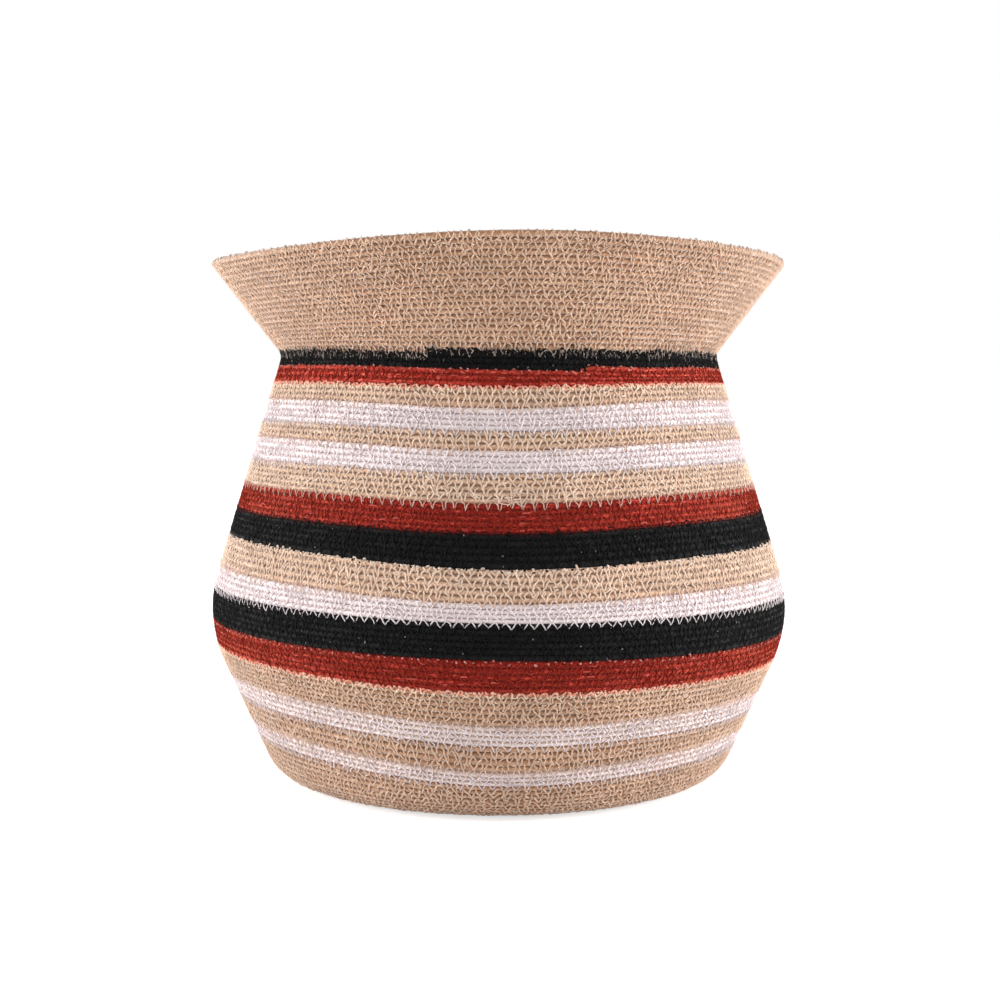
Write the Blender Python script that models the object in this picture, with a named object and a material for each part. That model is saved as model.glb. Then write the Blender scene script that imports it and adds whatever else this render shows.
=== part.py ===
"""Kiondo basket: one long coil of sewn cord, with a separate length of cord for each coloured band.

Lengths are in metres and +Z is up. The origin is the middle of the base, on the floor.
The coil starts at the middle of the base, spirals out to the foot and climbs the wall to the rim.
Every band of colour is its own length of cord: it starts where the one below it stops.
"""
import math

import bmesh
import bpy
import numpy as np

COLLECTION_NAME = "kiondo_basket"

# The outside of the basket: four straight runs, from the base to the rim, that meet in rounded corners
FOOT_CORNER_RADIUS = 0.1125
BELLY_CORNER_RADIUS = 0.1481
BELLY_CORNER_HEIGHT = 0.0803
NECK_CORNER_RADIUS = 0.1088
NECK_CORNER_HEIGHT = 0.2096
RIM_RADIUS = 0.1425
RIM_HEIGHT = 0.2535
FOOT_ROUNDING = 0.020
BELLY_ROUNDING = 0.063
NECK_ROUNDING = 0.0047

# The cord and how its turns lie against each other
CORD_THICKNESS = 0.0031
GROOVE_DEPTH = 0.0007
FIRST_TURN_RADIUS = 0.00325
CORD_CLEARANCE = 0.0003

# The coil is counted in turns, and each turn in steps
BASE_TURNS = 35
STEPS_PER_TURN = 24
INSIDE_TURNS = 4
ARC_STEPS = 24
SEAM_ANGLE = math.radians(90.0)
SHARP_ANGLE = math.radians(40.0)

# The last length of the rim's cord thins down to this share of a turn, over these steps
RIM_END_SHARE = 0.25
RIM_END_STEPS = 6

# Each band of the wall, from the floor up: its name, its cord and how many turns it has
BANDS = (
    ("foot_natural_cord", "natural", 12),
    ("foot_white_cord", "white", 3),
    ("lower_natural_cord", "natural", 4),
    ("lower_white_cord", "white", 4),
    ("belly_lower_natural_cord", "natural", 6),
    ("belly_red_cord", "red", 5),
    ("belly_black_cord", "black", 6),
    ("belly_white_cord", "white", 4),
    ("belly_upper_natural_cord", "natural", 5),
    ("shoulder_black_cord", "black", 5),
    ("shoulder_red_cord", "red", 5),
    ("shoulder_natural_cord", "natural", 5),
    ("upper_white_cord", "white", 4),
    ("upper_natural_cord", "natural", 3),
    ("neck_white_cord", "white", 4),
    ("neck_natural_cord", "natural", 3),
    ("neck_red_cord", "red", 3),
    ("neck_black_cord", "black", 3),
    ("rim_natural_cord", "natural", 20),
)

# Colour and roughness of each cord
CORDS = {
    "natural": ((0.52, 0.36, 0.24, 1.0), 0.85),
    "white": ((0.72, 0.68, 0.66, 1.0), 0.80),
    "red": ((0.26, 0.03, 0.02, 1.0), 0.75),
    "black": ((0.012, 0.011, 0.011, 1.0), 0.70),
}


def clear_scene():
    """Remove every object, so that the model starts from an empty scene."""
    for item in list(bpy.data.objects):
        bpy.data.objects.remove(item, do_unlink=True)


def rounded_corner(before, corner, after, rounding):
    """Return the points of the arc that rounds one corner of the outline."""
    back = (before - corner) / np.linalg.norm(before - corner)
    ahead = (after - corner) / np.linalg.norm(after - corner)
    half_angle = math.acos(float(np.dot(back, ahead))) / 2
    middle = (back + ahead) / np.linalg.norm(back + ahead)
    centre = corner + middle * rounding / math.sin(half_angle)
    start = corner + back * rounding / math.tan(half_angle) - centre
    end = corner + ahead * rounding / math.tan(half_angle) - centre
    sweep = math.pi - 2 * half_angle
    points = []
    for step in range(ARC_STEPS + 1):
        part = step / ARC_STEPS
        from_start = math.sin((1 - part) * sweep) / math.sin(sweep)
        from_end = math.sin(part * sweep) / math.sin(sweep)
        points.append(centre + start * from_start + end * from_end)
    return points


def basket_outline():
    """Return the outside of the basket as points of radius and height, from the middle of the base."""
    centre = np.array([0.0, 0.0])
    foot = np.array([FOOT_CORNER_RADIUS, 0.0])
    belly = np.array([BELLY_CORNER_RADIUS, BELLY_CORNER_HEIGHT])
    neck = np.array([NECK_CORNER_RADIUS, NECK_CORNER_HEIGHT])
    rim = np.array([RIM_RADIUS, RIM_HEIGHT])
    points = [centre]
    points += rounded_corner(centre, foot, belly, FOOT_ROUNDING)
    points += rounded_corner(foot, belly, neck, BELLY_ROUNDING)
    points += rounded_corner(belly, neck, rim, NECK_ROUNDING)
    points.append(rim)
    return np.array(points)


class Wall:
    """The wall's outside, measured along its outline, and the coil that is wound on it."""

    def __init__(self):
        self.outline = basket_outline()
        runs = np.linalg.norm(np.diff(self.outline, axis=0), axis=1)
        self.stations = np.concatenate([[0.0], np.cumsum(runs)])
        self.turns = sum(band[2] for band in BANDS)
        self.neck_turn = self.turns - BANDS[-1][2]
        self.flat_edge = float(self.stations[1])
        self.neck = float(self.stations[-2 - ARC_STEPS // 2])
        self.base_pitch = (self.flat_edge - FIRST_TURN_RADIUS) / BASE_TURNS
        self.body_pitch = (self.neck - self.flat_edge) / self.neck_turn
        self.rim_pitch = (float(self.stations[-1]) - self.neck) / (self.turns - self.neck_turn)

    def station(self, turn):
        """Return how far along the outline the lower edge of the coil lies at a turn."""
        turn = turn - 1 / 2
        if turn < 0:
            return self.flat_edge + turn * self.base_pitch
        if turn < self.neck_turn:
            return self.flat_edge + turn * self.body_pitch
        return self.neck + (turn - self.neck_turn) * self.rim_pitch

    def surface(self, station, depth):
        """Return radius and height at a station, at a depth under the outside of the wall."""
        last = len(self.stations) - 2
        run = min(int(np.searchsorted(self.stations, station, side="right")) - 1, last)
        along = self.outline[run + 1] - self.outline[run]
        length = self.stations[run + 1] - self.stations[run]
        point = self.outline[run] + along * (station - self.stations[run]) / length
        return point + self.inward(station) * depth

    def inward(self, station):
        """Return the direction into the wall, square to the outline over one turn of cord."""
        reach = self.body_pitch / 2
        low = max(station - reach, self.stations[0])
        high = min(station + reach, self.stations[-1])
        radii = np.interp([low, high], self.stations, self.outline[:, 0])
        heights = np.interp([low, high], self.stations, self.outline[:, 1])
        along = np.array([radii[1] - radii[0], heights[1] - heights[0]])
        along /= np.linalg.norm(along)
        return np.array([-along[1], along[0]])


class CordPiece:
    """One length of cord: its turns, sewn to each other, as a single closed mesh."""

    def __init__(self, wall, first_turn, turns):
        self.wall = wall
        self.first_turn = first_turn
        self.steps = turns * STEPS_PER_TURN
        self.ends_at_rim = first_turn + turns == wall.turns
        self.mesh = bmesh.new()

    def angle(self, step):
        """Return the angle of a step. Both cut ends are drawn back by half the clearance."""
        steps_round = STEPS_PER_TURN
        angle = SEAM_ANGLE - 2 * math.pi * step / steps_round
        radius = self.wall.surface(self.station(step, 0), 0.0)[0]
        draw_back = CORD_CLEARANCE / 2 / radius
        if step in (0, steps_round):
            return angle - draw_back
        if step in (self.steps, self.steps + steps_round):
            return angle + draw_back
        return angle

    def thinning(self, step, half_turns):
        """Return the share of a turn by which the rim's last length of cord is thinned at a step."""
        last_edge = self.steps + STEPS_PER_TURN
        if half_turns:
            into_end = step + STEPS_PER_TURN - last_edge + RIM_END_STEPS
            return max(into_end, 0) / RIM_END_STEPS * (1 - RIM_END_SHARE) / 2
        into_end = step - last_edge + RIM_END_STEPS
        return max(into_end, 0) / RIM_END_STEPS * (1 - RIM_END_SHARE)

    def station(self, step, half_turns):
        """Return the station of an edge, kept clear of the cord below and of the cord above."""
        turn = self.first_turn + step / STEPS_PER_TURN + half_turns / 2
        if self.ends_at_rim:
            turn -= self.thinning(step, half_turns)
        station = self.wall.station(turn)
        if half_turns == 0 and step <= STEPS_PER_TURN:
            station += CORD_CLEARANCE / 2
        if half_turns == 0 and step >= self.steps:
            station -= CORD_CLEARANCE / 2
        return station

    def point(self, step, half_turns, depth):
        """Add the point of one step of the coil and return its vertex."""
        radius, height = self.wall.surface(self.station(step, half_turns), depth)
        angle = self.angle(step)
        return self.mesh.verts.new((radius * math.cos(angle), radius * math.sin(angle), height))

    def ridged_side(self, groove_depth, ridge_depth):
        """Add the side that shows every turn of the cord, and return the points of its grooves."""
        grooves = []
        for step in range(self.steps + STEPS_PER_TURN + 1):
            grooves.append(self.point(step, 0, groove_depth))
        ridges = []
        for step in range(self.steps + 1):
            ridges.append(self.point(step, 1, ridge_depth))
        for step in range(self.steps):
            above = step + STEPS_PER_TURN
            self.mesh.faces.new((grooves[step], grooves[step + 1], ridges[step + 1], ridges[step]))
            self.mesh.faces.new((ridges[step], ridges[step + 1], grooves[above + 1], grooves[above]))
        return grooves, ridges

    def edge_loop(self, first_step, depth):
        """Add one turn of points along the edge of the side that stays plain."""
        return [self.point(first_step + step, 0, depth) for step in range(STEPS_PER_TURN + 1)]

    def plain_side(self, turns):
        """Add the inside of a band of the wall, as strips of a few turns, and return their edges."""
        strips = max(round(turns / INSIDE_TURNS), 1)
        firsts = [round(turns * strip / strips) * STEPS_PER_TURN for strip in range(strips + 1)]
        loops = [self.edge_loop(first, CORD_THICKNESS) for first in firsts]
        last = STEPS_PER_TURN - 1
        for low, high in zip(loops, loops[1:]):
            for step in range(1, last):
                self.mesh.faces.new((low[step], low[step + 1], high[step + 1], high[step]))
            self.mesh.faces.new((low[0], low[1], high[1], high[0], low[-1]))
            self.mesh.faces.new((low[last], low[-1], high[0], high[-1], high[last]))
        return loops

    def finish(self, name):
        """Turn the faces outward and return the mesh."""
        bmesh.ops.recalc_face_normals(self.mesh, faces=self.mesh.faces)
        data = bpy.data.meshes.new(name)
        self.mesh.to_mesh(data)
        self.mesh.free()
        data.shade_smooth()
        data.set_sharp_from_angle(angle=SHARP_ANGLE)
        return data


def wall_mesh(wall, name, first_turn, turns):
    """Return the mesh of a band of the wall, with its turns showing outside and a plain inside."""
    cord = CordPiece(wall, first_turn, turns)
    grooves, ridges = cord.ridged_side(GROOVE_DEPTH, 0.0)
    loops = cord.plain_side(turns)
    lower, upper = loops[0], loops[-1]
    low_groove = grooves[:STEPS_PER_TURN + 1]
    high_groove = grooves[cord.steps:]
    new_face = cord.mesh.faces.new
    for step in range(STEPS_PER_TURN):
        new_face((low_groove[step], low_groove[step + 1], lower[step + 1], lower[step]))
        new_face((high_groove[step], high_groove[step + 1], upper[step + 1], upper[step]))
    new_face((low_groove[0], ridges[0], low_groove[-1], lower[-1], lower[0]))
    new_face((high_groove[0], ridges[-1], high_groove[-1], upper[-1], upper[0]))
    return cord.finish(name)


def base_mesh(wall, name):
    """Return the mesh of the base coil, with its turns showing inside and a flat underside."""
    cord = CordPiece(wall, -BASE_TURNS, BASE_TURNS)
    grooves, ridges = cord.ridged_side(CORD_THICKNESS - GROOVE_DEPTH, CORD_THICKNESS)
    outer = cord.edge_loop(cord.steps, 0.0)
    first_turn = grooves[:STEPS_PER_TURN + 1]
    last_turn = grooves[cord.steps:]
    middle = cord.mesh.verts.new((0.0, 0.0, CORD_THICKNESS - GROOVE_DEPTH))
    new_face = cord.mesh.faces.new
    for step in range(STEPS_PER_TURN):
        new_face((middle, first_turn[step], first_turn[step + 1]))
        new_face((last_turn[step], last_turn[step + 1], outer[step + 1], outer[step]))
    new_face((middle, first_turn[-1], first_turn[0]))
    new_face((first_turn[0], ridges[0], first_turn[-1]))
    new_face((last_turn[0], ridges[-1], last_turn[-1], outer[-1], outer[0]))
    new_face(outer)
    return cord.finish(name)


def cord_material(name, cord):
    """Return the material of one length of cord."""
    colour, roughness = CORDS[cord]
    material = bpy.data.materials.new(name + "_" + cord)
    material.use_nodes = True
    shader = material.node_tree.nodes["Principled BSDF"]
    shader.inputs["Base Color"].default_value = colour
    shader.inputs["Roughness"].default_value = roughness
    shader.inputs["Metallic"].default_value = 0.0
    material.diffuse_color = colour
    return material


def add_piece(collection, mesh, cord):
    """Add one length of cord to the basket."""
    piece = bpy.data.objects.new(mesh.name, mesh)
    piece.data.materials.append(cord_material(mesh.name, cord))
    collection.objects.link(piece)
    return piece


def build_basket():
    """Build the base coil and every band of the wall."""
    clear_scene()
    collection = bpy.data.collections.new(COLLECTION_NAME)
    bpy.context.scene.collection.children.link(collection)
    wall = Wall()
    add_piece(collection, base_mesh(wall, "base_coil"), "natural")
    first_turn = 0
    for name, cord, turns in BANDS:
        add_piece(collection, wall_mesh(wall, name, first_turn, turns), cord)
        first_turn += turns
    print("pitch of base", wall.base_pitch, "body", wall.body_pitch, "rim", wall.rim_pitch)


build_basket()
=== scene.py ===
"""The looks of the kiondo basket: every turn of its cord and every zigzag stitch that joins them.

Lengths are in metres and +Z is up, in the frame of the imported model. The basket's front faces -Y.
A place on the wall is given as a station, an azimuth and a depth. The station is the distance along
the outline from the middle of the base, the azimuth is the angle from the front towards +X, and the
depth is measured inward from the outside of the wall.
"""

import logging
import math
from collections.abc import Mapping, Sequence
from dataclasses import KW_ONLY, dataclass, field, replace
from enum import Enum
from typing import NamedTuple, Union

import bpy
import numpy as np
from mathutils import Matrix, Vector

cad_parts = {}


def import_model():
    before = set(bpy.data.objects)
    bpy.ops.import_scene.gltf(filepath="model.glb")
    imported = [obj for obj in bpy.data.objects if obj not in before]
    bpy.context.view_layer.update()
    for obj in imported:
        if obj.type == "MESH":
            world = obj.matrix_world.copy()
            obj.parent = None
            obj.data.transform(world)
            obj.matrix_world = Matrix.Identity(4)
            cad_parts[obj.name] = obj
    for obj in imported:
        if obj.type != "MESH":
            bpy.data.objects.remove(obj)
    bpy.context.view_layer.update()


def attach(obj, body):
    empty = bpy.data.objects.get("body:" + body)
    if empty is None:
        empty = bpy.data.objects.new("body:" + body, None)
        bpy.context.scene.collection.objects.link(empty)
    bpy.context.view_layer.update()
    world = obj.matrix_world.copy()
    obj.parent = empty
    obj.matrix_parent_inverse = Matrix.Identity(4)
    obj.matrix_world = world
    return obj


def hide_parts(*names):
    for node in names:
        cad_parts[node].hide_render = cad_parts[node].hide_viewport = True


LOG = logging.getLogger("kiondo_basket")

Values = np.ndarray
Legs = tuple[Values, Values, Values, Values]
Span = tuple[float, float]
Place = tuple[float, float, float]
Input = Union["Wire", float, Sequence[float]]
Paint = Union["Wire", str]

FULL_TURN = 2 * math.pi
BODY = "root"
LAY_MAP = "Lay"
BAKE_MAP = "OFBake"
# The attribute that places painted shade in the grooves between turns of cord.
GROOVE_SHADE = "groove_shade"
RISE = "rise"
WHITE = "ffffff"


def linear(code: str) -> tuple[float, ...]:
    """Return the linear colour and full alpha of a screen colour's six hexadecimal digits."""
    shares = (value / 255 for value in bytes.fromhex(code))
    return *(x / 12.92 if x <= 0.04045 else ((x + 0.055) / 1.055) ** 2.4 for x in shares), 1.0


# Shader maths


class Wire:
    """A node's output, on which Python arithmetic adds Math nodes."""

    def __init__(self, tree: "Tree", socket: bpy.types.NodeSocket) -> None:
        """Wrap one output socket of a node tree."""
        self.tree = tree
        self.socket = socket

    def _maths(self, operation: str, first: Input, second: Input = 0.0) -> "Wire":
        """Return the wire of a new Math node."""
        return self.tree.node("ShaderNodeMath", {"operation": operation}, {0: first, 1: second})

    def __add__(self, other: Input) -> "Wire":
        """Return this value plus another."""
        return self._maths("ADD", self, other)

    def __mul__(self, other: Input) -> "Wire":
        """Return this value times another."""
        return self._maths("MULTIPLY", self, other)

    def __sub__(self, other: Input) -> "Wire":
        """Return this value less another."""
        return self._maths("SUBTRACT", self, other)

    def __rsub__(self, other: Input) -> "Wire":
        """Return another value less this one."""
        return self._maths("SUBTRACT", other, self)

    def __truediv__(self, other: Input) -> "Wire":
        """Return this value divided by another."""
        return self._maths("DIVIDE", self, other)

    def __rtruediv__(self, other: Input) -> "Wire":
        """Return another value divided by this one."""
        return self._maths("DIVIDE", other, self)

    __radd__ = __add__
    __rmul__ = __mul__

    def cos(self) -> "Wire":
        """Return the cosine of this value."""
        return self._maths("COSINE", self)

    def sin(self) -> "Wire":
        """Return the sine of this value."""
        return self._maths("SINE", self)

    def eased(self, low: float, high: float) -> "Wire":
        """Return a value that eases from 0 to 1 as this one goes from low to high."""
        settings = {"interpolation_type": "SMOOTHSTEP"}
        return self.tree.node("ShaderNodeMapRange", settings, {0: self, 1: low, 2: high})


class Tree:
    """The node tree of a material or of the world."""

    def __init__(self, owner: bpy.types.Material | bpy.types.World) -> None:
        """Clear the owner's nodes and start from none.

        Args:
            owner: The material or world that the nodes belong to.
        """
        owner.use_nodes = True
        self.nodes = owner.node_tree.nodes
        self.links = owner.node_tree.links
        self.nodes.clear()

    def node(
        self,
        kind: str,
        settings: Mapping[str, object] | None = None,
        inputs: Mapping[int | str, Input] | None = None,
        output: int | str = 0,
    ) -> Wire:
        """Add a node of any type.

        Args:
            kind: The node's type.
            settings: The node's own properties, which are set first.
            inputs: What each of its sockets is set to or linked from.
            output: The output that is returned.

        Returns:
            The wire of that output.
        """
        made = self.nodes.new(kind)
        for name, value in (settings or {}).items():
            setattr(made, name, value)
        for name, value in (inputs or {}).items():
            if isinstance(value, Wire):
                self.links.new(value.socket, made.inputs[name])
            else:
                made.inputs[name].default_value = value
        return Wire(self, made.outputs[output])

    def mixed(self, share: Input, first: Paint, second: Paint, blend: str = "MIX") -> Wire:
        """Return a mix of two colours.

        Args:
            share: How much of the second colour there is.
            first: A wire or a screen colour's digits.
            second: A wire or a screen colour's digits.
            blend: The way the two are blended.

        Returns:
            The wire of the mixed colour.
        """
        settings = {"data_type": "RGBA", "blend_type": blend}
        ends = [linear(colour) if isinstance(colour, str) else colour for colour in (first, second)]
        return self.node("ShaderNodeMix", settings, {0: share, 6: ends[0], 7: ends[1]}, 2)

    def vector(self, x: Input, y: Input, z: Input) -> Wire:
        """Return a vector of three values."""
        return self.node("ShaderNodeCombineXYZ", {}, {0: x, 1: y, 2: z})

    def noise(self, place: Wire, scale: float, detail: float) -> Wire:
        """Return noise from 0 to 1 at a place."""
        inputs = {"Vector": place, "Scale": scale, "Detail": detail}
        return self.node("ShaderNodeTexNoise", {}, inputs)

    def finish(self, surface: Wire, kind: str = "Material") -> None:
        """Link the surface shader to the output."""
        made = self.nodes.new("ShaderNodeOutput" + kind)
        self.links.new(surface.socket, made.inputs["Surface"])


# Finishes


class Lay:
    """A material's node tree, and how far along and around its cord or thread a point is."""

    def __init__(self, made: bpy.types.Material) -> None:
        """Start the tree and read the map that holds both places.

        Args:
            made: The new material.
        """
        self.tree = Tree(made)
        lay = self.tree.node("ShaderNodeUVMap", {"uv_map": LAY_MAP})
        self.length, self.around = (
            self.tree.node("ShaderNodeSeparateXYZ", {}, {0: lay}, axis) for axis in (0, 1)
        )


@dataclass(frozen=True)
class Grain:
    """A noise that runs along and around a cord or thread."""

    per_metre: float
    per_girth: float
    phase: float
    detail: float = 2.0

    def on(self, lay: Lay) -> Wire:
        """Add the noise to a material.

        Args:
            lay: The material's node tree and places.

        Returns:
            The wire of the noise, from 0 to 1.
        """
        across = lay.around * self.per_girth if self.per_girth else 0.0
        place = lay.tree.vector(lay.length * self.per_metre, across, self.phase)
        return lay.tree.noise(place, 1.0, self.detail)


@dataclass(frozen=True)
class Finish:
    """What the looks of cord and of thread share: the slot, and how the surface takes the light."""

    name: str
    slot: str
    _: KW_ONLY
    sheen: float = 0.0
    sheen_tint: str = WHITE
    sheen_roughness: float = 0.5
    shine: float = 0.18
    least_roughness: float = 0.72
    roughness_spread: float = 0.2
    bump_strength: float = 0.8
    bump_depth: float = 0.00028
    patch_detail: float = 2.0
    patches_per_metre: float = 34.0
    patch_edge: Span = (0.35, 0.65)

    def surface(self, lay: Lay) -> tuple[Wire, Wire, Wire, Wire]:
        """Return the colour, its tone with painted shade, fibres and height of the surface, which
        each kind sets.
        """
        raise NotImplementedError

    def patches(self, tree: Tree) -> Wire:
        """Return where the wide patches lie, from 0 to 1."""
        place = tree.node("ShaderNodeTexCoord", output="Object")
        return tree.noise(place, self.patches_per_metre, self.patch_detail).eased(*self.patch_edge)

    def material(self) -> bpy.types.Material:
        """Make the material of this finish.

        Returns:
            The material.
        """
        made = bpy.data.materials.new(self.name)
        lay = Lay(made)
        tree = lay.tree
        colour, tone_and_shade, fibres, height = self.surface(lay)
        bump = {"Strength": self.bump_strength, "Distance": self.bump_depth, "Height": height}
        tree.finish(tree.node("ShaderNodeBsdfPrincipled", {}, {
            # The colour is multiplied by random tone and by painted shade in the valleys between
            # plies.
            "Base Color": tree.mixed(1.0, colour, tree.vector(tone_and_shade, tone_and_shade, tone_and_shade), "MULTIPLY"),
            "Roughness": fibres * self.roughness_spread + self.least_roughness,
            "Specular IOR Level": self.shine,
            "Sheen Weight": self.sheen,
            "Sheen Tint": linear(self.sheen_tint),
            "Sheen Roughness": self.sheen_roughness,
            "Normal": tree.node("ShaderNodeBump", {}, bump),
        }))
        return made


@dataclass(frozen=True)
class CordFinish(Finish):
    """The look of one colour of cord: three plies of fibre laid together in a long twist.

    The width is how wide each turn is for its share of the wall: above 1, turns press together.
    """

    # groove_shade is a painted shade colour for the sides of each turn, down between turns.
    crown: str
    groove_shade: str
    # painted_highlight is a painted highlight colour for dashes along the fibres.
    painted_highlight: str
    painted_highlight_share: float
    dull: str
    dull_share: float
    drift_to: str
    drift_share: float
    _: KW_ONLY
    ply_shade: float = 0.24
    fibre_contrast: float = 0.16
    unevenness: float = 0.08
    lightness: float = 0.98
    width: float = 1.10
    plies: int = 3
    lay_length: float = 0.0072
    ply_height: float = 0.7
    fibre_height: float = 0.5
    fibres_per_metre: float = 260.0
    fibre_girth: float = 1.7
    fibre_scale: float = 1.4
    fibre_detail: float = 3.0
    crown_grain: Grain = Grain(330.0, 3.0, 0.9)
    groove_shade_jitter: float = 0.35
    crown_edge: Span = (0.68, 0.92)
    dashes: Grain = Grain(270.0, 11.0, 0.3)
    painted_highlight_edge: Span = (0.54, 0.66)
    dull_edge: Span = (0.46, 0.34)
    tones: Grain = Grain(22.0, 0.0, 0.7, 1.0)
    tone_edge: Span = (0.3, 0.7)

    def surface(self, lay: Lay) -> tuple[Wire, Wire, Wire, Wire]:
        """Paint the cord.

        Args:
            lay: The material's node tree and places.

        Returns:
            The wires of its colour, its tone with painted shade, fibres and height.
        """
        tree = lay.tree
        twist = (lay.around + lay.length / self.lay_length) * FULL_TURN
        ring = [way * self.fibre_girth for way in (twist.cos(), twist.sin())]
        fibre_place = tree.vector(lay.length * self.fibres_per_metre, *ring)
        fibres = tree.noise(fibre_place, self.fibre_scale, self.fibre_detail)
        plies = (twist * self.plies).cos() * 0.5 + 0.5
        # Painted shade: the sides of each turn, down between turns, take the groove shade colour,
        # and noise makes its edge wander.
        groove_shade = tree.node("ShaderNodeAttribute", {"attribute_name": GROOVE_SHADE}, output="Fac")
        groove_shade_wander = (self.crown_grain.on(lay) - 0.5) * self.groove_shade_jitter
        dashes = self.dashes.on(lay)
        tone = self.tones.on(lay).eased(*self.tone_edge)
        colour = tree.mixed(self.patches(tree) * self.drift_share, self.crown, self.drift_to)
        # Bright dashes are painted highlights along the fibres. Dull dashes are darker fibres.
        painted_highlight = dashes.eased(*self.painted_highlight_edge) * self.painted_highlight_share
        dull = dashes.eased(*self.dull_edge) * self.dull_share
        colour = tree.mixed(dull, tree.mixed(painted_highlight, colour, self.painted_highlight), self.dull)
        colour = tree.mixed((1.0 - groove_shade + groove_shade_wander).eased(*self.crown_edge), self.groove_shade, colour)
        # Random fibre tone and unevenness, with painted shade in the valleys between plies.
        tone_and_shade = self.lightness - self.ply_shade / 2 + self.fibre_contrast * (fibres - 0.5)
        tone_and_shade = tone_and_shade + self.ply_shade * plies + self.unevenness * (tone - 0.5)
        return colour, tone_and_shade, fibres, plies * self.ply_height + fibres * self.fibre_height


@dataclass(frozen=True)
class ThreadFinish(Finish):
    """One kind of sewing thread: two fine plies, a little smoother than the cord.

    The stain is a second colour that comes and goes along the thread. Where stain_from is above
    nought, it keeps to the top of each stitch.
    """

    colour: str
    stain: str
    stain_share: float
    _: KW_ONLY
    radius: float = 0.00038
    flatness: float = 0.6
    sunk: float = 0.0
    stain_from: float = 0.0
    stain_reach: float = 0.3
    least_shade: float = 0.64
    tone_contrast: float = 0.42
    ply_shade: float = 0.08
    patch_contrast: float = 0.13
    plies: int = 2
    lay_length: float = 0.0016
    tones: Grain = Grain(620.0, 0.0, 0.2)
    stains: Grain = Grain(120.0, 0.0, 5.1, 1.0)
    stain_edge: Span = (0.42, 0.58)
    shine: float = 0.22
    sheen_roughness: float = 0.45
    least_roughness: float = 0.62
    bump_strength: float = 0.7
    bump_depth: float = 0.00005
    patch_detail: float = 3.0
    patches_per_metre: float = 60.0

    def surface(self, lay: Lay) -> tuple[Wire, Wire, Wire, Wire]:
        """Paint the thread.

        Args:
            lay: The material's node tree and places.

        Returns:
            The wires of its colour, its tone with painted shade, fibres and height.
        """
        tree = lay.tree
        twist = (lay.around * self.plies + lay.length / self.lay_length) * FULL_TURN
        plies = twist.cos() * 0.5 + 0.5
        tone = self.tones.on(lay)
        if self.stain_from:
            rise = tree.node("ShaderNodeAttribute", {"attribute_name": RISE}, output="Fac")
            stained = rise.eased(self.stain_from, self.stain_from + self.stain_reach)
        else:
            stained = self.stains.on(lay).eased(*self.stain_edge)
        # Random tone and patches, with painted shade in the valleys between plies.
        tone_and_shade = self.least_shade + self.tone_contrast * tone + self.ply_shade * plies
        tone_and_shade = tone_and_shade + self.patch_contrast * self.patches(tree)
        return tree.mixed(stained * self.stain_share, self.colour, self.stain), tone_and_shade, tone, plies


class Cord(Enum):
    """The colours of cord."""

    NATURAL = CordFinish(
        "natural_cord", "natural_cord", "d1ad91", "a27a5f", "eccfb8", 0.6, "b0886a", 0.6,
        "c89e7e", 0.8, sheen=0.80, sheen_tint="fffaf6", unevenness=0.18,
    )
    TAN = CordFinish(
        "tan_cord", "natural_cord", "c19676", "9b6f51", "e2bea2", 0.6, "9a6e4e", 0.7,
        "b07e5a", 0.8, sheen=1.0, sheen_tint="fffcfa", unevenness=0.22,
    )
    WHITE = CordFinish(
        "white_cord", "white_cord", "eee0df", "dccdcb", "efe2e2", 0.4, "dfcfce", 0.5,
        "eadde0", 0.6, sheen=0.05, ply_shade=0.12, width=1.12,
    )
    FOOT_WHITE = CordFinish(
        "foot_white_cord", "white_cord", "efe0de", "ccb2a2", "f0e3e2", 0.4, "dbc5bc", 0.6,
        "e9d7d3", 0.6, sheen=0.05, ply_shade=0.12, width=1.12,
    )
    RED = CordFinish(
        "red_cord", "red_cord", "831510", "5f0907", "c84837", 0.8, "680b08", 0.8,
        "8c2216", 0.6, sheen=1.0, sheen_tint="ff7a5a", width=1.30,
    )
    NECK_RED = CordFinish(
        "neck_red_cord", "red_cord", "a42c23", "74120d", "e06e5e", 0.9, "861610", 0.8,
        "b03426", 0.6, sheen=0.80, sheen_tint="ff7858", width=1.30,
    )
    BLACK = CordFinish(
        "black_cord", "black_cord", "0d0c0d", "090809", "141315", 0.3, "090809", 0.5,
        "0e0d0e", 0.5, width=1.18,
    )


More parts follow.
